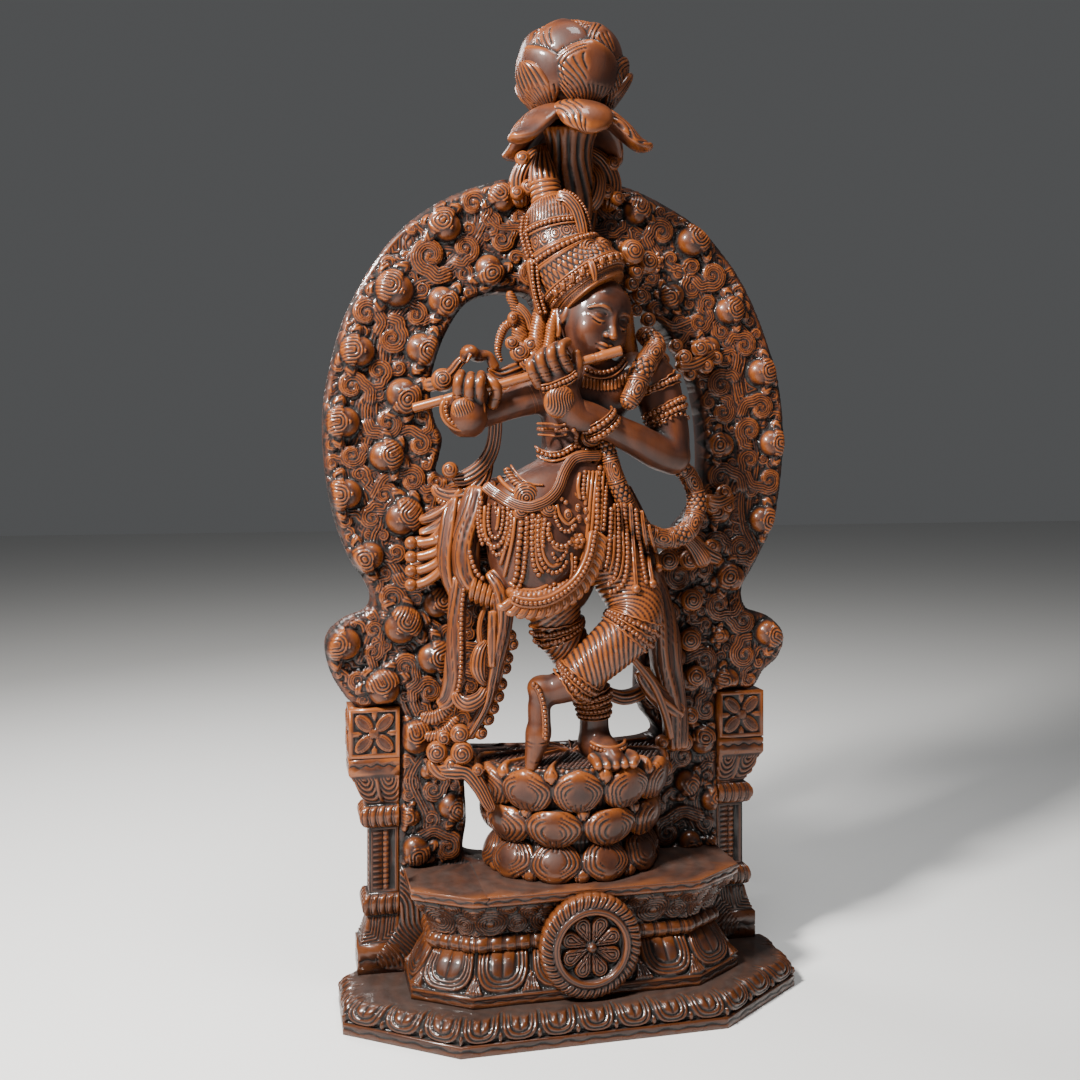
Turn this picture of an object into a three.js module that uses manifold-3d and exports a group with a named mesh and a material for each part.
// Carved wooden flute player under a foliage arch, on a stepped plinth.
// Millimetres, +Z up, the front faces -Y, origin at the middle of the footprint on the floor.
import * as THREE from "three";
import { mergeVertices } from "three/addons/utils/BufferGeometryUtils.js";
import Module from "manifold-3d";

const wasm = await Module();
wasm.setup();

// Driving dimensions
const totalHeight = 1830;
const jointGap = 0.3;
const finestEdge = 0.02;

// Base slab: an octagon longer than it is deep
const baseHalfWidth = 428;
const baseFrontHalf = 240;
const baseBackHalf = 380;
const baseFront = -237;
const baseSideFront = -106;
const baseSideBack = 28;
const baseBack = 80;
const baseFascia = 20;
const baseHeight = 54;
const baseMouldingInset = 42;
const basePetalPitch = 66;
const basePetalRise = 7;

// Pedestal on the base, in front of the carving
const pedestalHalfWidth = 309;
const pedestalFrontHalf = 209;
const pedestalFront = -179;
const pedestalSideFront = -114;
const pedestalHeight = 193;
const pedestalFascia = 17;
const pedestalSlab = 18;
const pedestalWaistInset = 46;

// Wheel on the pedestal's front
const wheelRadius = 93.5;
const wheelThickness = 17;
const wheelRimWidth = 22;
const wheelPetals = 8;
const wheelFlutes = 20;

// Pillars beside the carving
const pillarWidth = 94;
const pillarDepth = 76;
const pillarHeight = 493;
const pillarFlowerFrame = 8;

// Carved plank that holds the arch, the side panels and the rail behind the pedestal
const plankThickness = 62;
const panelHalfWidth = 316.7;
const archRadius = 446;
const archCentreHeight = 1050;
const archBand = 165;
const archBudsPerSide = 8;
const carvingTop = totalHeight;
const carvingUnit = 1583;

// Lotus seat
const lotusHalfWidth = 172;
const lotusDepth = 150;
const lotusPetalsPerRing = 12;

// Heights and scales worked out from the sizes above
const pedestalTop = baseHeight + pedestalHeight;
const pillarTop = baseHeight + pillarHeight;
const pillarInner = panelHalfWidth + jointGap;
const middle = (baseFront + baseBack) / 2;
const s = (carvingTop - pedestalTop) / carvingUnit;

const woodColour = new THREE.Color(0.3, 0.125, 0.055);

// Closed geometry to solid
function solid(geometry) {
  const g = geometry.clone();
  g.deleteAttribute("normal");
  g.deleteAttribute("uv");
  const m = mergeVertices(g, 1e-3);
  const mesh = new wasm.Mesh({
    numProp: 3,
    vertProperties: Float32Array.from(m.attributes.position.array),
    triVerts: Uint32Array.from(m.index.array),
  });
  mesh.merge();
  return new wasm.Manifold(mesh);
}

// Joins many solids, two by two
function join(parts) {
  let row = parts.filter((p) => p);
  while (row.length > 1) {
    const next = [];
    for (let i = 0; i < row.length; i += 2) {
      next.push(i + 1 < row.length ? row[i].add(row[i + 1]) : row[i]);
    }
    row = next;
  }
  return row[0];
}

// Skin over a row of rings with the same number of points, closed by a fan at each end
function skin(rings) {
  const count = rings[0].length;
  const points = [];
  rings.forEach((ring) => ring.forEach((p) => points.push(p.x, p.y, p.z)));
  const index = [];
  for (let r = 0; r + 1 < rings.length; r += 1) {
    for (let i = 0; i < count; i += 1) {
      const a = r * count + i;
      const b = r * count + ((i + 1) % count);
      index.push(a, b, a + count);
      index.push(b, b + count, a + count);
    }
  }
  const cap = (start, flip) => {
    const centre = points.length / 3;
    for (let k = 0; k < 3; k += 1) {
      let sum = 0;
      for (let i = 0; i < count; i += 1) sum += points[(start + i) * 3 + k];
      points.push(sum / count);
    }
    for (let i = 0; i < count; i += 1) {
      const next = (i + 1) % count;
      if (flip) index.push(centre, start + next, start + i);
      else index.push(centre, start + i, start + next);
    }
  };
  cap(0, true);
  cap((rings.length - 1) * count, false);
  const g = new THREE.BufferGeometry();
  g.setAttribute("position", new THREE.Float32BufferAttribute(points, 3));
  g.setIndex(index);
  return outward(g);
}

// Turns a closed geometry so that its faces point out
function outward(g) {
  const p = g.attributes.position.array;
  const t = g.index.array;
  let volume = 0;
  for (let i = 0; i < t.length; i += 3) {
    const a = new THREE.Vector3().fromArray(p, t[i] * 3);
    const b = new THREE.Vector3().fromArray(p, t[i + 1] * 3);
    const c = new THREE.Vector3().fromArray(p, t[i + 2] * 3);
    volume += a.dot(b.cross(c));
  }
  if (volume < 0) {
    const turned = [];
    for (let i = 0; i < t.length; i += 3) turned.push(t[i], t[i + 2], t[i + 1]);
    g.setIndex(turned);
  }
  return g;
}

// Place in the carving: the free form is drawn for a carving 1583 high over the pedestal
function at(x, y, z) {
  return new THREE.Vector3(x * s, y * s, pedestalTop + (z - 247) * s);
}

// Bar with an oval section along a smooth line of [x, y, z, radius] stations
function limb(stations, sides = 6, steps = 0) {
  const line = new THREE.CatmullRomCurve3(stations.map((p) => at(p[0], p[1], p[2])));
  const n = steps || stations.length * 2 - 2;
  const frames = line.computeFrenetFrames(n, false);
  const rings = [];
  for (let i = 0; i <= n; i += 1) {
    const u = i / n;
    const c = line.getPointAt(u);
    const t = line.getUtoTmapping(u) * (stations.length - 1);
    const k = Math.min(Math.floor(t), stations.length - 2);
    const r = s * THREE.MathUtils.lerp(stations[k][3], stations[k + 1][3], t - k);
    const ring = [];
    for (let j = 0; j < sides; j += 1) {
      const a = (j / sides) * Math.PI * 2;
      const p = c.clone();
      p.addScaledVector(frames.normals[i], Math.cos(a) * r);
      p.addScaledVector(frames.binormals[i], Math.sin(a) * r);
      ring.push(p);
    }
    rings.push(ring);
  }
  return solid(skin(rings));
}

// Upright body of oval sections [z, x, y, halfWidth, halfDepth]
function stack(sections, sides = 9) {
  const rings = sections.map(([z, x, y, w, d]) => {
    const ring = [];
    for (let j = 0; j < sides; j += 1) {
      const a = (j / sides) * Math.PI * 2;
      ring.push(at(x + Math.cos(a) * w, y + Math.sin(a) * d, z));
    }
    return ring;
  });
  return solid(skin(rings));
}

// Closed hand seen from the front: a bar whose front is notched between the fingers
function hand(stations, fingers, yShare) {
  const rings = stations.map(([x, y, z, half, ax, az]) => {
    const ring = [];
    const count = fingers * 2 + 1;
    for (let j = 0; j < count; j += 1) {
      const u = (j / (count - 1)) * 2 - 1;
      const bulge = (j % 2 ? 1 : 0.62) * Math.sqrt(1.15 - u * u * 0.6);
      ring.push(at(x + ax * u * half, y - bulge * half * yShare, z + az * u * half));
    }
    ring.push(at(x + ax * half * 0.6, y + half * 0.55, z + az * half * 0.6));
    ring.push(at(x - ax * half * 0.6, y + half * 0.55, z - az * half * 0.6));
    return ring;
  });
  return solid(skin(rings));
}

// Egg shape with its own tilt, in degrees about Y and then X
function ball(x, y, z, rx, ry, rz, across = 8, up = 5, tiltY = 0, tiltX = 0) {
  const g = new THREE.SphereGeometry(1, across, up);
  g.rotateX(Math.PI / 2);
  g.scale(rx * s, ry * s, rz * s);
  g.rotateY(THREE.MathUtils.degToRad(tiltY));
  g.rotateX(THREE.MathUtils.degToRad(tiltX));
  const c = at(x, y, z);
  g.translate(c.x, c.y, c.z);
  return solid(g);
}

// Flat board of an outline in the XZ plane between two depths
function board(outline, front, back, holes = []) {
  const shape = new THREE.Shape(outline);
  holes.forEach((h) => shape.holes.push(new THREE.Path(h)));
  const g = new THREE.ExtrudeGeometry(shape, {
    depth: back - front,
    bevelEnabled: false,
    steps: 1,
  });
  g.rotateX(Math.PI / 2);
  g.translate(0, back, 0);
  return solid(g);
}

// Smooth closed outline through named places of the carving
function outlineOf(places, samples) {
  const line = new THREE.CatmullRomCurve3(
    places.map(([x, z]) => at(x, 0, z)),
    true,
    "centripetal",
  );
  return line.getSpacedPoints(samples).slice(0, samples).map((p) => new THREE.Vector2(p.x, p.z));
}

// Hanging cloth: a flat bar whose front is folded into pleats
function pleats(stations, folds) {
  const rings = stations.map(([x, y, z, half], i) => {
    const ring = [];
    const next = stations[Math.min(i + 1, stations.length - 1)];
    const prev = stations[Math.max(i - 1, 0)];
    const length = Math.hypot(next[0] - prev[0], next[2] - prev[2]);
    const ax = Math.abs(next[2] - prev[2]) / length;
    const az = (next[0] - prev[0]) / length;
    const count = folds * 2 + 1;
    for (let j = 0; j < count; j += 1) {
      const u = (j / (count - 1)) * 2 - 1;
      ring.push(at(x + ax * u * half, y - (j % 2 ? 18 : 2), z + az * u * half));
    }
    ring.push(at(x + ax * half * 0.9, y + 34, z + az * half * 0.9));
    ring.push(at(x - ax * half * 0.9, y + 34, z - az * half * 0.9));
    return ring;
  });
  return solid(skin(rings));
}

// Octagon ring of the base or the pedestal, moved in by an inset
function octagon(half, frontHalf, front, sideFront, sideBack, backHalf, back, inset, z) {
  const corners = [
    [frontHalf, front],
    [half, sideFront],
    [half, sideBack],
    [backHalf, back],
    [-backHalf, back],
    [-half, sideBack],
    [-half, sideFront],
    [-frontHalf, front],
  ];
  return insetRing(corners, inset, z);
}

// Moves every side of a closed outline in by an inset, or by 0 on the sides named as fixed
function insetRing(corners, inset, z, fixed = []) {
  const n = corners.length;
  const ring = [];
  for (let i = 0; i < n; i += 1) {
    const prev = corners[(i + n - 1) % n];
    const here = corners[i];
    const next = corners[(i + 1) % n];
    const normal = (p, q) => {
      const l = Math.hypot(q[0] - p[0], q[1] - p[1]);
      return [-(q[1] - p[1]) / l, (q[0] - p[0]) / l];
    };
    const a = normal(prev, here);
    const b = normal(here, next);
    const da = fixed.includes((i + n - 1) % n) ? 0 : inset;
    const db = fixed.includes(i) ? 0 : inset;
    const det = a[0] * b[1] - a[1] * b[0];
    const x = here[0] + (da * b[1] - db * a[1]) / det;
    const y = here[1] + (db * a[0] - da * b[0]) / det;
    ring.push(new THREE.Vector3(x, y, z));
  }
  return ring;
}

// Petal lying on a moulding: a low ridge from a root to a tip that stands off the face
function basePetal(place, along, outwardDir, width, low, high) {
  const rings = [];
  const steps = 3;
  for (let i = 0; i <= steps; i += 1) {
    const u = i / steps;
    const w = width * 0.5 * Math.sqrt(Math.max(0.02, Math.sin(Math.PI * (0.14 + 0.8 * u))));
    const c = new THREE.Vector3().lerpVectors(high, low, u);
    const lift = basePetalRise * Math.sin(Math.PI * (0.1 + 0.8 * u));
    const ring = [
      c.clone().addScaledVector(along, -w).addScaledVector(outwardDir, -8),
      c.clone().addScaledVector(along, -w * 0.6).addScaledVector(outwardDir, lift),
      c.clone().addScaledVector(along, w * 0.6).addScaledVector(outwardDir, lift),
      c.clone().addScaledVector(along, w).addScaledVector(outwardDir, -8),
    ];
    ring.forEach((p) => p.add(place));
    rings.push(ring);
  }
  return solid(skin(rings));
}

// Base slab with its fascia, its rounded moulding and the row of petals
function makeBase() {
  const rise = baseHeight - baseFascia;
  const profile = [
    [0, 0],
    [baseFascia, 0],
    [baseFascia + rise * 0.04, baseMouldingInset * 0.16],
    [baseFascia + rise * 0.35, baseMouldingInset * 0.08],
    [baseFascia + rise * 0.66, baseMouldingInset * 0.2],
    [baseFascia + rise * 0.88, baseMouldingInset * 0.48],
    [baseFascia + rise, baseMouldingInset],
  ];
  const plan = [
    baseHalfWidth, baseFrontHalf, baseFront, baseSideFront, baseSideBack, baseBackHalf, baseBack,
  ];
  const rings = profile.map(([z, inset]) => octagon(...plan, inset, z));
  const parts = [solid(skin(rings))];
  const outer = octagon(...plan, 0, 0);
  for (let i = 0; i < outer.length; i += 1) {
    const a = outer[i];
    const b = outer[(i + 1) % outer.length];
    const isBack = a.y > baseSideBack + 1 && b.y > baseSideBack + 1;
    const length = a.distanceTo(b);
    if (isBack || length < basePetalPitch) continue;
    const along = b.clone().sub(a).normalize();
    const normal = new THREE.Vector3(along.y, -along.x, 0);
    const out = normal.clone().multiplyScalar(0.62).add(new THREE.Vector3(0, 0, 0.78));
    const count = Math.max(1, Math.round(length / basePetalPitch));
    for (let k = 0; k < count; k += 1) {
      const mid = a.clone().lerp(b, (k + 0.5) / count);
      const low = normal.clone().multiplyScalar(-baseMouldingInset * 0.08);
      low.z = baseFascia + rise * 0.3;
      const high = normal.clone().multiplyScalar(-baseMouldingInset * 0.8);
      high.z = baseFascia + rise * 0.98;
      parts.push(basePetal(mid, along, out, (length / count) * 0.86, low, high));
    }
  }
  const above = new THREE.BoxGeometry(baseHalfWidth * 3, baseHalfWidth * 3, 60);
  above.translate(0, 0, baseHeight + 30);
  return join(parts).subtract(solid(above));
}

// Pedestal: fascia, bell with leaves, rope moulding, hollow with scrolls, top slab
function makePedestal() {
  const back = -jointGap;
  const corners = [
    [pedestalFrontHalf, pedestalFront],
    [pedestalHalfWidth, pedestalSideFront],
    [pedestalHalfWidth, back],
    [-pedestalHalfWidth, back],
    [-pedestalHalfWidth, pedestalSideFront],
    [-pedestalFrontHalf, pedestalFront],
  ];
  const z0 = baseHeight + jointGap;
  const full = pedestalHeight - jointGap;
  const w = pedestalWaistInset;
  const share = (v) => z0 + full * v;
  const profile = [
    [z0, 0],
    [z0 + pedestalFascia, 0],
    [z0 + pedestalFascia + 3, 3],
    [share(0.2), w * 0.42],
    [share(0.32), w * 0.72],
    [share(0.41), w],
    [share(0.43), w * 0.8],
    [share(0.48), w * 0.72],
    [share(0.53), w * 0.8],
    [share(0.55), w],
    [share(0.64), w * 0.96],
    [share(0.78), w * 0.66],
    [z0 + full - pedestalSlab - 3, 6],
    [z0 + full - pedestalSlab, 0],
    [z0 + full, 0],
  ];
  const parts = [solid(skin(profile.map(([z, inset]) => insetRing(corners, inset, z, [2]))))];
  // leaves on the bell and scrolls in the hollow, on the front and on the two slanted sides
  const faces = [
    [[-pedestalFrontHalf, pedestalFront], [pedestalFrontHalf, pedestalFront], 4],
    [[-pedestalHalfWidth, pedestalSideFront], [-pedestalFrontHalf, pedestalFront], 1],
    [[pedestalFrontHalf, pedestalFront], [pedestalHalfWidth, pedestalSideFront], 1],
  ];
  faces.forEach(([a, b, count]) => {
    const p = new THREE.Vector3(a[0], a[1], 0);
    const q = new THREE.Vector3(b[0], b[1], 0);
    const along = q.clone().sub(p).normalize();
    const normal = new THREE.Vector3(along.y, -along.x, 0);
    const length = p.distanceTo(q);
    for (let k = 0; k < count; k += 1) {
      const mid = p.clone().lerp(q, (k + 0.5) / count);
      const half = (length / count) * 0.36;
      const leaf = new THREE.SphereGeometry(1, 6, 3);
      leaf.rotateX(Math.PI / 2);
      leaf.scale(half, w * 0.42, full * 0.14);
      leaf.rotateX(THREE.MathUtils.degToRad(-26));
      leaf.rotateZ(Math.atan2(along.y, along.x));
      const c = mid.clone().addScaledVector(normal, -w * 0.74);
      leaf.translate(c.x, c.y, share(0.24));
      parts.push(solid(leaf));
      for (const side of [-1, 1]) {
        const curl = new THREE.SphereGeometry(1, 5, 3);
        curl.rotateX(Math.PI / 2);
        curl.scale(half * 0.42, w * 0.36, full * 0.11);
        curl.rotateZ(Math.atan2(along.y, along.x));
        const d = mid.clone().addScaledVector(normal, -w * 0.78);
        d.addScaledVector(along, side * half * 0.55);
        curl.translate(d.x, d.y, share(0.72));
        parts.push(solid(curl));
      }
    }
  });
  const box = new THREE.BoxGeometry(pedestalHalfWidth * 2 + 20, 400, pedestalHeight + 20);
  box.translate(0, back + 200, z0 + full / 2);
  const top = new THREE.BoxGeometry(pedestalHalfWidth * 2 + 20, 800, 60);
  top.translate(0, 0, z0 + full + 30);
  return join(parts).subtract(solid(box)).subtract(solid(top));
}

// Wheel: a disc whose rim is drawn out into flutes, with a flower and a hub
function makeWheel() {
  const r = wheelRadius;
  const t = wheelThickness;
  const rim = wheelRimWidth;
  // rows of [radius, height, how far the flutes cut in, turn of the flutes]
  const rows = [
    [2, 0, 0, 0], [r * 0.985, 0, 0, 0], [r, t * 0.5, 3.2, 0], [r - rim * 0.4, t * 1.34, 3.2, 0.06],
    [r - rim, t * 1.42, 0, 0.12], [r - rim - 9, t * 1.56, 0, 0.12],
    [r - rim - 12, t * 0.8, 0, 0.12], [2, t * 0.74, 0, 0.12],
  ];
  const sides = wheelFlutes * 2;
  const rings = rows.map(([radius, height, cut, turn]) => {
    const ring = [];
    for (let j = 0; j < sides; j += 1) {
      const a = (j / sides) * Math.PI * 2 + turn;
      const reach = radius - (j % 2 ? cut : 0);
      const lift = height - (j % 2 && height > t ? cut : 0);
      ring.push(new THREE.Vector3(Math.cos(a) * reach, lift, Math.sin(a) * reach));
    }
    return ring;
  });
  const parts = [solid(skin(rings))];
  const petal = (r - rim - 13) / 2;
  for (let i = 0; i < wheelPetals; i += 1) {
    const a = (i / wheelPetals) * Math.PI * 2;
    const g = new THREE.SphereGeometry(1, 6, 3);
    g.rotateX(Math.PI / 2);
    g.scale(petal * 0.98, t * 0.45, petal * 0.52);
    g.translate(petal * 1.02, t * 0.85, 0);
    g.rotateY(a);
    parts.push(solid(g));
  }
  const hub = new THREE.SphereGeometry(1, 8, 4);
  hub.scale(r * 0.1, t * 0.55, r * 0.1);
  hub.translate(0, t * 1.1, 0);
  parts.push(solid(hub));
  return join(parts);
}

// Pillar beside the carving; the inner side is flat against the panel
function makePillar(side) {
  const z0 = baseHeight + jointGap;
  const full = pillarHeight - jointGap;
  const w = pillarWidth;
  // share of the height, share of the width, inset of front and back
  const profile = [
    [0, 0.82, 2],
    [0.106, 0.82, 2],
    [0.11, 0.76, 6],
    [0.16, 0.66, 11],
    [0.21, 0.6, 14],
    [0.222, 0.68, 7],
    [0.25, 0.72, 4],
    [0.285, 0.67, 8],
    [0.295, 0.585, 15],
    [0.542, 0.585, 15],
    [0.552, 0.69, 8],
    [0.588, 0.77, 4],
    [0.622, 0.68, 9],
    [0.63, 0.6, 14],
    [0.67, 0.75, 9],
    [0.715, 0.83, 5],
    [0.74, 0.98, 1],
    [0.755, 1, 0],
    [1, 1, 0],
  ];
  const rings = profile.map(([h, share, inset]) => {
    const z = z0 + full * h;
    return [
      new THREE.Vector3(side * pillarInner, inset, z),
      new THREE.Vector3(side * (pillarInner + w * share), inset, z),
      new THREE.Vector3(side * (pillarInner + w * share), pillarDepth - inset, z),
      new THREE.Vector3(side * pillarInner, pillarDepth - inset, z),
    ];
  });
  const body = solid(skin(rings));
  const cx = side * (pillarInner + w / 2);
  const zTop = z0 + full;
  const panelHeight = full * 0.187;
  const zFlower = zTop - panelHeight / 2;
  const half = w / 2 - pillarFlowerFrame;
  const recess = new THREE.BoxGeometry(half * 2, 6, panelHeight - pillarFlowerFrame * 2);
  recess.translate(cx, 0, zFlower);
  const line = new THREE.BoxGeometry(w * 1.4, 5, 2.4);
  line.translate(cx, 0, zTop - panelHeight);
  const shaft = new THREE.BoxGeometry(w * 0.3, 8, full * 0.225);
  shaft.translate(side * (pillarInner + w * 0.3), 15, z0 + full * 0.418);
  let result = body.subtract(solid(recess)).subtract(solid(line)).subtract(solid(shaft));
  const parts = [result];
  for (let i = 0; i < 4; i += 1) {
    const a = Math.PI / 4 + (i * Math.PI) / 2;
    const g = new THREE.SphereGeometry(1, 6, 3);
    g.rotateX(Math.PI / 2);
    g.scale(half * 0.58, 6, half * 0.36);
    g.rotateY(-a);
    g.translate(cx + Math.cos(a) * half * 0.6, 4, zFlower + Math.sin(a) * half * 0.6);
    parts.push(solid(g));
  }
  const hub = new THREE.CylinderGeometry(half * 0.2, half * 0.2, 8, 6);
  hub.translate(cx, 3, zFlower);
  parts.push(solid(hub));
  for (let i = 0; i < 5; i += 1) {
    const notch = new THREE.BoxGeometry(w * 0.26, 7, full * 0.018);
    notch.translate(side * (pillarInner + w * 0.3), 17, z0 + full * (0.33 + 0.045 * i));
    parts.push(solid(notch));
  }
  result = join(parts);
  const ribs = [];
  for (const h of [0.255, 0.587]) {
    for (let i = 1; i < 3; i += 1) {
      const g = new THREE.BoxGeometry(2.6, 8, full * 0.05);
      g.translate(side * (pillarInner + w * 0.24 * i), 3, z0 + full * h);
      ribs.push(solid(g));
    }
  }
  return result.subtract(join(ribs));
}

// Arch band in polar form: buds along both edges and a winding vine between them
function makeArch() {
  const from = -40;
  const to = 220;
  const steps = archBudsPerSide * 6;
  const rows = 7;
  const rings = [];
  for (let i = 0; i <= steps; i += 1) {
    const deg = from + ((to - from) * i) / steps;
    const a = THREE.MathUtils.degToRad(deg);
    const outerBud = i % 3 === 0 ? 1 : 0;
    const innerBud = i % 3 === 2 ? 1 : 0;
    const foot = THREE.MathUtils.smoothstep(Math.abs(deg - 90), 100, 130);
    const outer = archRadius * (1 - 0.035 * foot) + 12 * outerBud;
    const inner = archRadius - archBand * (1 - 0.3 * foot) - 10 * innerBud;
    const vine = 0.5 + 0.2 * Math.sin((Math.PI * i) / 3);
    const ring = [];
    const put3 = (r, y) => {
      const stretch = 1 + 0.075 * Math.max(0, Math.sin(a));
      ring.push(at(Math.cos(a) * r, y, archCentreHeight + Math.sin(a) * r * stretch));
    };
    put3(outer, 34);
    for (let j = 0; j < rows; j += 1) {
      const u = j / (rows - 1);
      const r = THREE.MathUtils.lerp(outer, inner, u);
      const ridge = Math.exp(-(((u - 1 + vine) / 0.14) ** 2));
      const bud = outerBud * Math.exp(-(((u - 0.13) / 0.12) ** 2))
        + innerBud * Math.exp(-(((u - 0.86) / 0.12) ** 2));
      const edge = j === 0 || j === rows - 1 ? 12 : 0;
      put3(r, 4 + edge - 20 * bud - 15 * ridge);
    }
    put3(inner, plankThickness / s);
    put3(outer - 6, plankThickness / s);
    rings.push(ring);
  }
  return solid(skin(rings));
}

// Plank under the arch: side scrolls, panels and rail, with the openings cut through
function makePlank() {
  const left = [
    [-300, 540], [-392, 548], [-436, 598], [-452, 648], [-446, 684], [-414, 710], [-376, 730],
    [-362, 756], [-372, 800], [-330, 905], [-270, 935], [-270, 700],
  ];
  const wing = (side) => {
    const outline = outlineOf(left.map(([x, z]) => [x * -side, z]), 26);
    return board(side > 0 ? outline.reverse() : outline, 0, plankThickness);
  };
  const low = pillarTop + jointGap;
  const panel = panelHalfWidth;
  const floor = baseHeight + jointGap;
  const crown = at(0, 0, 940).z;
  const lower = [
    new THREE.Vector2(-panel, floor),
    new THREE.Vector2(panel, floor),
    new THREE.Vector2(panel, crown - 60),
    new THREE.Vector2(panel * 0.8, crown),
    new THREE.Vector2(-panel * 0.8, crown),
    new THREE.Vector2(-panel, crown - 60),
  ];
  let plank = join([board(lower, 0, plankThickness), wing(-1), wing(1)]);
  const pillarRoom = new THREE.BoxGeometry(400, 400, low);
  for (const side of [-1, 1]) {
    const room = pillarRoom.clone().translate(side * (panel + 200), 0, low / 2);
    plank = plank.subtract(solid(room));
  }
  return plank;
}

// Openings through the plank, seen between arch, figure and lotus, each as corners [x, z]
function makeOpenings() {
  const openings = [
    [
      [-62, 1318], [-228, 1200], [-262, 1165], [-258, 1105], [-234, 1050], [-242, 1015],
      [-246, 985], [-205, 975], [-120, 975], [-40, 1010], [-32, 1100],
    ],
    [
      [96, 1300], [258, 1218], [284, 1130], [293, 1055], [290, 985], [282, 940], [258, 905],
      [232, 868], [210, 812], [172, 808], [150, 850], [108, 900], [88, 960], [80, 1040],
    ],
    [
      [-98, 735], [-103, 690], [-106, 635], [-118, 596], [-128, 550], [-148, 510], [-168, 486],
      [-178, 458], [168, 458], [167, 514], [156, 540], [155, 636], [128, 645], [112, 764],
      [-40, 745],
    ],
    [
      [-197, 422], [-196, 330], [-195, 254], [-50, 254], [-50, 330], [-90, 396], [-140, 422],
    ],
    [
      [108, 254], [176, 254], [181, 292], [160, 306], [118, 296],
    ],
  ];
  return openings.map((corners) => {
    const flat = corners.map(([x, z]) => {
      const p = at(x, 0, z);
      return new THREE.Vector2(p.x, p.z);
    });
    return board(flat, -40, plankThickness + 40);
  });
}

// Scrolls beside the foot of the arch, buds over them, leaves on the side panels
function makeFoliage() {
  const bumps = [
    [420, 14, 650, 38, 40, 42], [268, 4, 730, 26, 32, 26], [330, 4, 660, 34, 34, 34],
    [278, -2, 540, 34, 30, 40], [288, 2, 430, 26, 22, 50], [228, 2, 350, 28, 22, 60],
  ];
  const parts = [];
  for (const side of [-1, 1]) {
    bumps.forEach(([x, ...rest]) => parts.push(ball(side * x, ...rest, 6, 3)));
    parts.push(limb([
      [side * 300, -2, 850, 14], [side * 338, -2, 760, 14], [side * 296, -2, 690, 15],
      [side * 318, -2, 600, 14], [side * 250, -2, 470, 12], [side * 296, -2, 370, 12],
      [side * 262, -2, 270, 10],
    ], 3, 10));
  }
  return parts;
}

// Lotus seat: three tiers whose rims are drawn out into petals
function makeLotus() {
  const w = lotusHalfWidth;
  const d = lotusDepth;
  const cy = -18;
  const sides = lotusPetalsPerRing * 4;
  // one tier: rows of [z, share of the width, share of the depth, how far the petals stand out]
  const tier = (rows, phase, cx) => solid(skin(rows.map(([z, rw, rd, petal]) => {
    const ring = [];
    for (let j = 0; j < sides; j += 2) {
      const a = (j / sides) * Math.PI * 2;
      const swell = 1 + petal * Math.abs(Math.cos(((a - phase) * lotusPetalsPerRing) / 2));
      ring.push(at(cx + Math.cos(a) * w * rw * swell, cy + Math.sin(a) * d * rd * swell, z));
    }
    return ring;
  })));
  const parts = [
    tier([
      [247 + jointGap / s, 0.86, 0.88, 0.1], [264, 0.88, 0.9, 0.12], [286, 0.79, 0.79, 0.08],
      [312, 0.68, 0.68, 0],
    ], 0.26, 3),
    tier([
      [300, 0.66, 0.64, 0], [326, 0.86, 0.78, 0.1], [362, 0.94, 0.86, 0.13],
      [380, 0.86, 0.76, 0],
    ], 0, 3),
    tier([
      [362, 0.8, 0.74, 0], [392, 0.97, 0.84, 0.12], [438, 1.0, 0.86, 0.14],
      [455, 0.98, 0.84, 0.02],
    ], 0.26, 7),
  ];
  const lotus = join(parts);
  const back = new THREE.BoxGeometry(900, 400, 900);
  back.translate(0, plankThickness + 200, 450);
  return lotus.subtract(solid(back));
}

// Lotus bud on a stem over the arch: each tier's rim is drawn out into petals
function makeFinial() {
  // one tier: rows of [z, radius, how far the petal tips stand out, how far they rise]
  const tier = (rows, petals, phase) => solid(skin(rows.map(([z, r, out, up]) => {
    const ring = [];
    const sides = petals * 2;
    for (let j = 0; j < sides; j += 1) {
      const a = (j / sides) * Math.PI * 2 + phase;
      const tip = j % 2 === 0 ? 1 : 0;
      const reach = r + out * tip;
      ring.push(at(Math.cos(a) * reach, finialY + Math.sin(a) * reach, z + up * tip));
    }
    return ring;
  })));
  const finialY = -49;
  const parts = [
    stack([
      [1440, 2, 10, 60, 46], [1500, 2, -2, 66, 50], [1560, 2, -20, 52, 48],
      [1590, 1, -34, 44, 44], [1640, 0, -46, 58, 54],
    ], 8),
    tier([
      [1606, 40, 14, 0], [1622, 70, 64, -36], [1644, 76, 34, -2], [1664, 66, 12, 0],
      [1672, 50, 0, 0],
    ], 6, 0),
    tier([
      [1660, 58, 0, 0], [1680, 82, 6, 0], [1706, 92, 12, 4], [1724, 92, 26, 16],
      [1728, 84, 8, 6],
    ], 7, 0.2),
    tier([
      [1700, 76, 0, 0], [1740, 98, 4, 0], [1778, 92, 4, 0], [1806, 76, 2, 0], [1824, 52, 0, 0],
      [1830, 34, 0, 0],
    ], 6, 0.4),
  ];
  // frilled leaves beside the stem
  for (const side of [-1, 1]) {
    parts.push(limb([
      [side * 36, -14, 1600, 12], [side * 74, -12, 1572, 20], [side * 92, -6, 1530, 22],
      [side * 84, 4, 1488, 22],
    ], 5, 3));
  }
  return parts;
}

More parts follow.
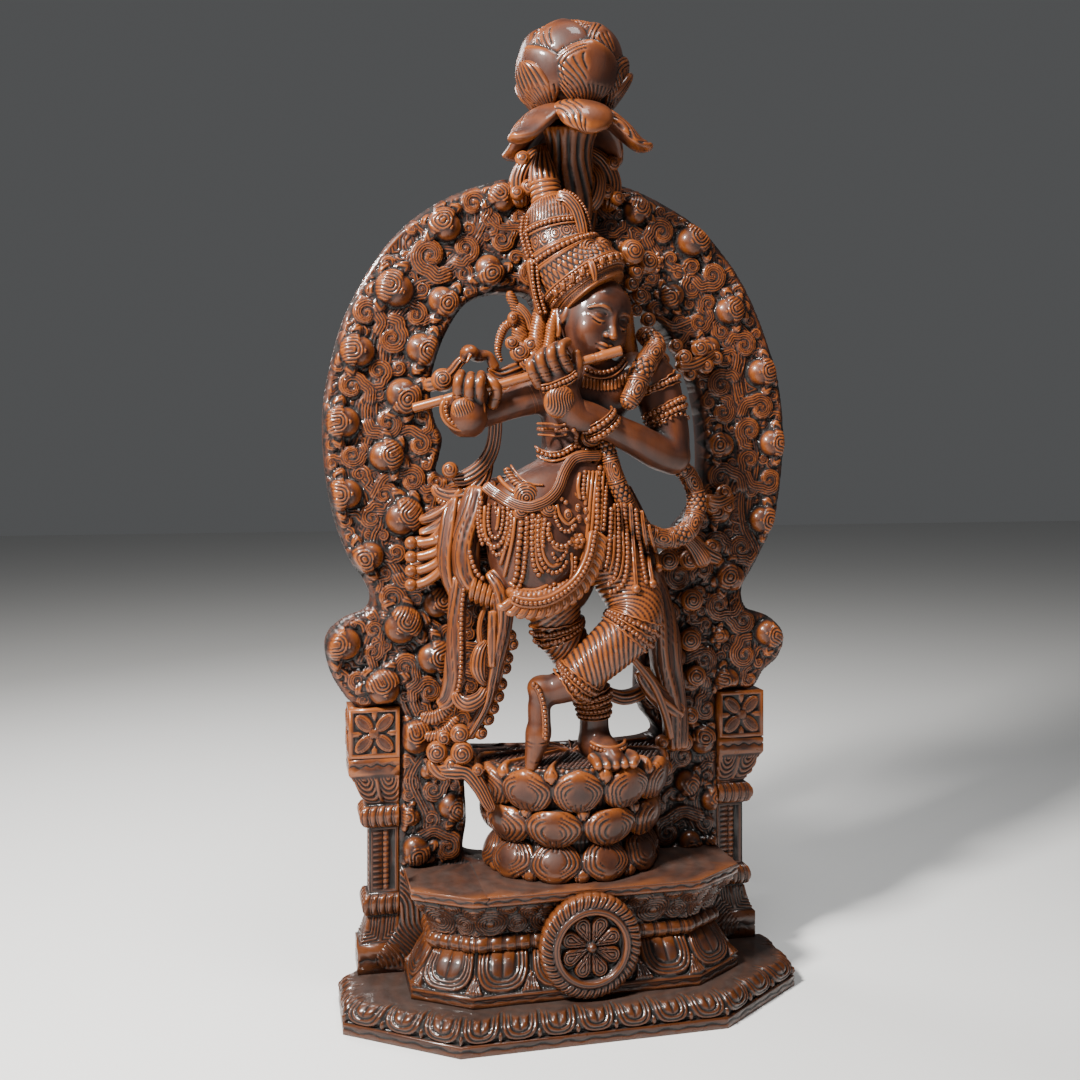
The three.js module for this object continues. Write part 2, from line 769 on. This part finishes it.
// Body, head and crown
function makeBody() {
  const parts = [];
  parts.push(stack([
    [1200, 32, -88, 34, 32],
    [1182, 34, -82, 66, 44],
    [1165, 34, -80, 100, 52],
    [1130, 26, -80, 100, 60],
    [1090, 14, -78, 80, 56],
    [1050, 6, -76, 62, 50],
    [1018, 0, -76, 60, 50],
    [974, -38, -80, 104, 68],
    [930, -52, -82, 120, 74],
    [850, -56, -82, 115, 76],
    [780, -58, -82, 96, 66],
    [745, -56, -82, 78, 54],
    [724, -54, -82, 58, 40],
  ], 8));
  parts.push(limb([[30, -80, 1180, 34], [32, -90, 1222, 36]], 6, 1));
  // head, tilted and turned, with nose and hair
  parts.push(ball(30, -98, 1270, 66, 74, 84, 8, 6, -12));
  parts.push(limb([[40, -168, 1288, 6], [50, -178, 1262, 10], [52, -168, 1250, 8]], 4, 2));
  parts.push(limb([
    [-38, -70, 1330, 16], [-60, -62, 1280, 17], [-70, -58, 1220, 20], [-84, -58, 1170, 22],
  ], 5, 4));
  // crown leaning to the left, with its rings and its tip
  const axis = [
    [1318, 22, -98, 72], [1338, 10, -96, 82], [1362, -8, -92, 77], [1394, -27, -87, 68],
    [1436, -37, -80, 60], [1474, -43, -72, 51], [1494, -48, -67, 34], [1506, -51, -65, 36],
    [1520, -54, -63, 26], [1530, -55, -62, 30], [1592, -57, -54, 10],
  ];
  parts.push(stack(axis.map(([z, x, y, r]) => [z, x, y, r, r]), 8));
  parts.push(limb([
    [-34, -112, 1446, 10], [-2, -130, 1448, 12], [20, -124, 1422, 13], [38, -112, 1384, 14],
    [58, -118, 1360, 11], [54, -140, 1350, 8],
  ], 5, 6));
  // bird ornament beside the hair
  parts.push(limb([
    [-70, -50, 1180, 26], [-108, -45, 1200, 26], [-122, -42, 1250, 18], [-112, -42, 1290, 17],
    [-124, -44, 1318, 13], [-130, -46, 1332, 8],
  ], 6, 7));
  return parts;
}

// Arms, hands, flute and the scarf that hangs from the far hand
function makeArms() {
  const parts = [];
  // arm that holds the flute's far end
  parts.push(limb([
    [-40, -82, 1150, 46], [-84, -84, 1128, 36], [-120, -86, 1112, 29], [-152, -86, 1100, 26],
    [-182, -92, 1092, 26], [-208, -100, 1092, 34],
  ], 6, 4));
  parts.push(ball(-212, -102, 1090, 38, 34, 34, 6, 4));
  parts.push(hand([
    [-196, -100, 1096, 26, 0.96, 0.28], [-190, -106, 1130, 34, 0.96, 0.28],
    [-186, -110, 1158, 37, 0.96, 0.28], [-184, -102, 1178, 32, 0.96, 0.28],
  ], 4, 0.62));
  // bird on the far hand and the branch that carries it
  parts.push(ball(-192, -68, 1196, 30, 17, 20, 6, 3));
  parts.push(limb([
    [-268, -20, 1150, 15], [-244, -50, 1165, 12], [-212, -66, 1185, 11], [-165, -62, 1186, 14],
    [-120, -56, 1176, 16], [-88, -56, 1170, 16],
  ], 5, 5));
  // arm that crosses the chest
  parts.push(limb([
    [120, -80, 1172, 44], [150, -84, 1160, 46], [166, -90, 1110, 43], [178, -98, 1060, 38],
    [178, -104, 1022, 35],
  ], 6, 4));
  parts.push(limb([
    [184, -100, 1012, 30], [148, -118, 1024, 34], [100, -134, 1046, 31], [50, -144, 1068, 28],
    [12, -148, 1086, 27],
  ], 6, 3));
  parts.push(limb([
    [20, -146, 1080, 27], [-12, -150, 1084, 31], [-38, -152, 1106, 34], [-48, -150, 1140, 33],
  ], 6, 3));
  parts.push(hand([
    [-48, -146, 1130, 34, 0.94, 0.34], [-54, -150, 1162, 41, 0.94, 0.34],
    [-58, -156, 1190, 44, 0.94, 0.34], [-56, -150, 1216, 40, 0.94, 0.34],
  ], 4, 0.62));
  parts.push(limb([[-302, -72, 1102, 8], [-120, -130, 1153, 8], [58, -172, 1204, 8]], 6, 1));
  // scarf
  parts.push(limb([
    [-150, -92, 1105, 15], [-146, -82, 1060, 14], [-152, -68, 1016, 15], [-172, -52, 982, 18],
    [-206, -38, 962, 20], [-246, -22, 956, 20], [-280, -10, 968, 18],
  ], 5, 8));
  return parts;
}

// Garlands, necklace, sash and apron hem
function makeGarlands() {
  const parts = [];
  parts.push(limb([
    [96, -58, 1236, 18], [126, -84, 1244, 22], [144, -112, 1214, 25], [128, -132, 1168, 25],
    [106, -142, 1128, 22], [95, -142, 1092, 18],
  ], 6, 6));
  parts.push(limb([
    [54, -118, 1046, 15], [66, -130, 1008, 17], [84, -132, 966, 18], [112, -124, 912, 19],
    [146, -112, 868, 20], [190, -96, 852, 21], [228, -84, 884, 21], [236, -76, 935, 20],
    [214, -82, 984, 19], [182, -92, 1010, 20],
  ], 6, 12));
  parts.push(limb([[206, -92, 862, 12], [236, -84, 842, 16], [252, -80, 816, 22]], 6, 3));
  parts.push(limb([
    [-22, -100, 1172, 12], [0, -128, 1140, 12], [34, -138, 1124, 12], [70, -130, 1138, 12],
    [92, -104, 1170, 12],
  ], 4, 5));
  // sash over the hip
  parts.push(limb([
    [52, -124, 1014, 12], [10, -136, 1018, 13], [-22, -144, 996, 14], [-40, -152, 958, 14],
    [-66, -156, 930, 15], [-102, -150, 922, 15], [-140, -132, 936, 15], [-172, -98, 958, 14],
  ], 4, 8));
  // hem of the apron with its fringe
  parts.push(limb([
    [46, -108, 1010, 13], [42, -134, 960, 15], [32, -146, 900, 18], [16, -150, 842, 22],
    [-16, -148, 790, 27], [-66, -142, 756, 30], [-118, -128, 756, 28], [-158, -106, 784, 18],
  ], 5, 9));
  return parts;
}

// Legs and feet
function makeLegs() {
  const parts = [];
  // crossing leg
  parts.push(limb([
    [40, -92, 850, 58], [80, -108, 800, 54], [100, -128, 740, 51], [84, -138, 700, 49],
    [46, -138, 664, 45], [8, -134, 630, 41], [-20, -130, 604, 38], [-48, -122, 590, 27],
  ], 7, 8));
  parts.push(limb([
    [-42, -120, 592, 26], [-66, -116, 590, 25], [-78, -114, 560, 22], [-77, -114, 520, 23],
    [-82, -114, 492, 19], [-90, -116, 466, 15], [-92, -118, 448, 12],
  ], 6, 6));
  // standing leg
  parts.push(limb([
    [-46, -88, 790, 56], [-38, -86, 710, 47], [-10, -82, 660, 42], [18, -78, 610, 36],
    [34, -76, 562, 33], [38, -74, 530, 27], [39, -72, 492, 28],
  ], 7, 7));
  parts.push(limb([
    [38, -52, 474, 24], [42, -84, 480, 28], [50, -120, 472, 30], [56, -148, 463, 20],
  ], 6, 4));
  parts.push(hand([
    [54, -140, 470, 38, 0.98, 0.06], [56, -148, 458, 42, 0.98, 0.06],
    [56, -146, 452, 38, 0.98, 0.06],
  ], 5, 0.5));
  // panel of the skirt behind the near thigh
  parts.push(stack([
    [960, 84, -72, 26, 26],
    [900, 98, -70, 44, 34],
    [840, 106, -64, 58, 44],
    [780, 112, -58, 62, 46],
    [742, 116, -50, 56, 36],
  ], 6));
  return parts;
}

// Hanging cloth on the left and foliage that ties the figure to the plank
function makeDrapery() {
  const parts = [];
  parts.push(pleats([
    [-192, -46, 972, 40], [-214, -60, 890, 48], [-208, -64, 780, 46], [-208, -64, 650, 43],
    [-204, -56, 545, 42], [-226, -42, 505, 40],
  ], 3));
  parts.push(limb([
    [-164, -70, 950, 17], [-186, -80, 860, 18], [-164, -90, 770, 21], [-136, -90, 722, 22],
    [-132, -82, 650, 22], [-146, -72, 584, 21], [-214, -52, 512, 20],
  ], 5, 7));
  parts.push(pleats([
    [-170, -24, 900, 40], [-250, -22, 846, 44], [-318, -8, 744, 34],
  ], 2));
  // curled branch from the panel to the lotus
  parts.push(limb([
    [-286, -14, 512, 22], [-246, -34, 500, 28], [-214, -54, 470, 22], [-186, -78, 438, 17],
    [-166, -96, 402, 15], [-150, -108, 376, 10],
  ], 6, 6));
  parts.push(ball(-236, -42, 492, 34, 28, 34, 6, 4));
  // stems on the right, between the near knee and the panel
  parts.push(limb([
    [60, -60, 572, 13], [100, -46, 556, 16], [136, -34, 560, 16], [172, -14, 580, 16],
  ], 5, 3));
  parts.push(limb([
    [92, -96, 656, 8], [150, -80, 588, 9], [182, -62, 524, 9], [200, -44, 470, 9],
  ], 4, 4));
  parts.push(limb([
    [172, -30, 720, 22], [182, -36, 660, 26], [190, -34, 590, 26], [206, -28, 520, 24],
    [214, -30, 470, 22],
  ], 5, 5));
  // leaf that ties the near shoulder to the arch
  parts.push(limb([
    [140, -62, 1196, 18], [186, -46, 1210, 16], [226, -26, 1228, 17], [268, -4, 1222, 18],
  ], 5, 5));
  parts.push(limb([
    [98, -60, 1290, 18], [132, -36, 1318, 20], [164, -12, 1342, 20],
  ], 5, 3));
  // garland rests on the arch
  parts.push(limb([[226, -70, 940, 14], [262, -36, 944, 15], [300, -4, 950, 16]], 5, 3));
  // wood left behind the crown, the back and the hips, down to the plank
  parts.push(stack([
    [1560, -30, -22, 34, 34], [1480, -16, -20, 62, 40], [1340, 12, -30, 56, 44],
    [1180, 24, -30, 44, 42], [1060, 14, -26, 40, 44], [960, -26, -26, 68, 46],
    [800, -40, -22, 88, 46], [756, -30, -20, 80, 40],
  ], 6));
  return parts;
}

// The carving, trimmed to the plank's back and clear of pedestal and pillars
function makeCarving() {
  const plank = join([makeArch(), makePlank()]).subtract(join(makeOpenings()));
  const all = join([
    plank,
    ...makeFoliage(),
    makeLotus(),
    ...makeFinial(),
    ...makeBody(),
    ...makeArms(),
    ...makeGarlands(),
    ...makeLegs(),
    ...makeDrapery(),
  ]);
  const trims = [];
  const back = new THREE.BoxGeometry(1200, 200, 1560);
  back.translate(0, plankThickness + 100, 780);
  trims.push(solid(back));
  const low = pillarTop + jointGap;
  for (const side of [-1, 1]) {
    const room = new THREE.BoxGeometry(300, 600, low);
    room.translate(side * (panelHalfWidth + 150), 0, low / 2);
    trims.push(solid(room));
  }
  const front = new THREE.BoxGeometry(1200, 600, pedestalTop + jointGap);
  front.translate(0, -300, (pedestalTop + jointGap) / 2);
  trims.push(solid(front));
  return all.subtract(join(trims));
}

// Solid to a named mesh
const group = new THREE.Group();
function put(name, body, colour, roughness = 0.42) {
  const parts = body.decompose();
  parts.sort((a, b) => b.volume() - a.volume());
  const mesh = parts[0].simplify(finestEdge).getMesh();
  const g = new THREE.BufferGeometry();
  g.setAttribute("position", new THREE.BufferAttribute(Float32Array.from(mesh.vertProperties), 3));
  g.setIndex(new THREE.BufferAttribute(Uint32Array.from(mesh.triVerts), 1));
  g.computeVertexNormals();
  const m = new THREE.Mesh(g, new THREE.MeshStandardMaterial({ color: colour, roughness, metalness: 0 }));
  m.name = name;
  m.position.y = -middle;
  group.add(m);
  return m;
}

put("base", makeBase(), woodColour);
put("pedestal", makePedestal(), woodColour);
const wheel = put("wheel", makeWheel(), woodColour);
wheel.rotation.x = Math.PI;
wheel.position.y += pedestalFront - jointGap;
wheel.position.z = pedestalTop - pedestalHeight / 2 - 1;
put("pillar_left", makePillar(-1), woodColour);
put("pillar_right", makePillar(1), woodColour);
put("carving", makeCarving(), woodColour);

export default group;
